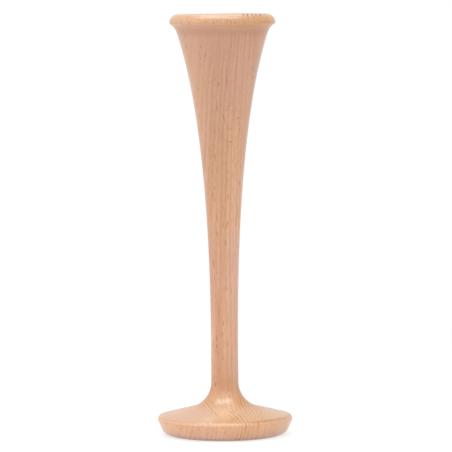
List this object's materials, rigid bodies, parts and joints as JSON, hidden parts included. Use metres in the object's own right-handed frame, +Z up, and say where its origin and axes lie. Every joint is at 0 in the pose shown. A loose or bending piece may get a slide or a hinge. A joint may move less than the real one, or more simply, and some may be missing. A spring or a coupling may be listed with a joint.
{
  "type": "monaural stethoscope",
  "caption": "Turned wooden listening horn with a flared bell, a slim bored stem and a push-on ear plate on which it stands.",
  "frame": {"origin": "centre of the foot ring, on the surface that the ear plate stands on", "axes": "+Z up along the turning axis, from the ear plate to the bell's mouth"},
  "size_m": [0.061, 0.061, 0.19],
  "materials": {
    "beech": "clear satin lacquer over fine-grained pale beech"
  },
  "bodies": {
    "ear_plate": {"ear_plate": "beech"},
    "horn": {"horn": "beech"}
  },
  "joints": [
    {"name": "horn_lift", "type": "slide", "parent": "ear_plate", "child": "horn", "axis": [0, 0, 1], "range_m": [0, 0.03]}
  ]
}
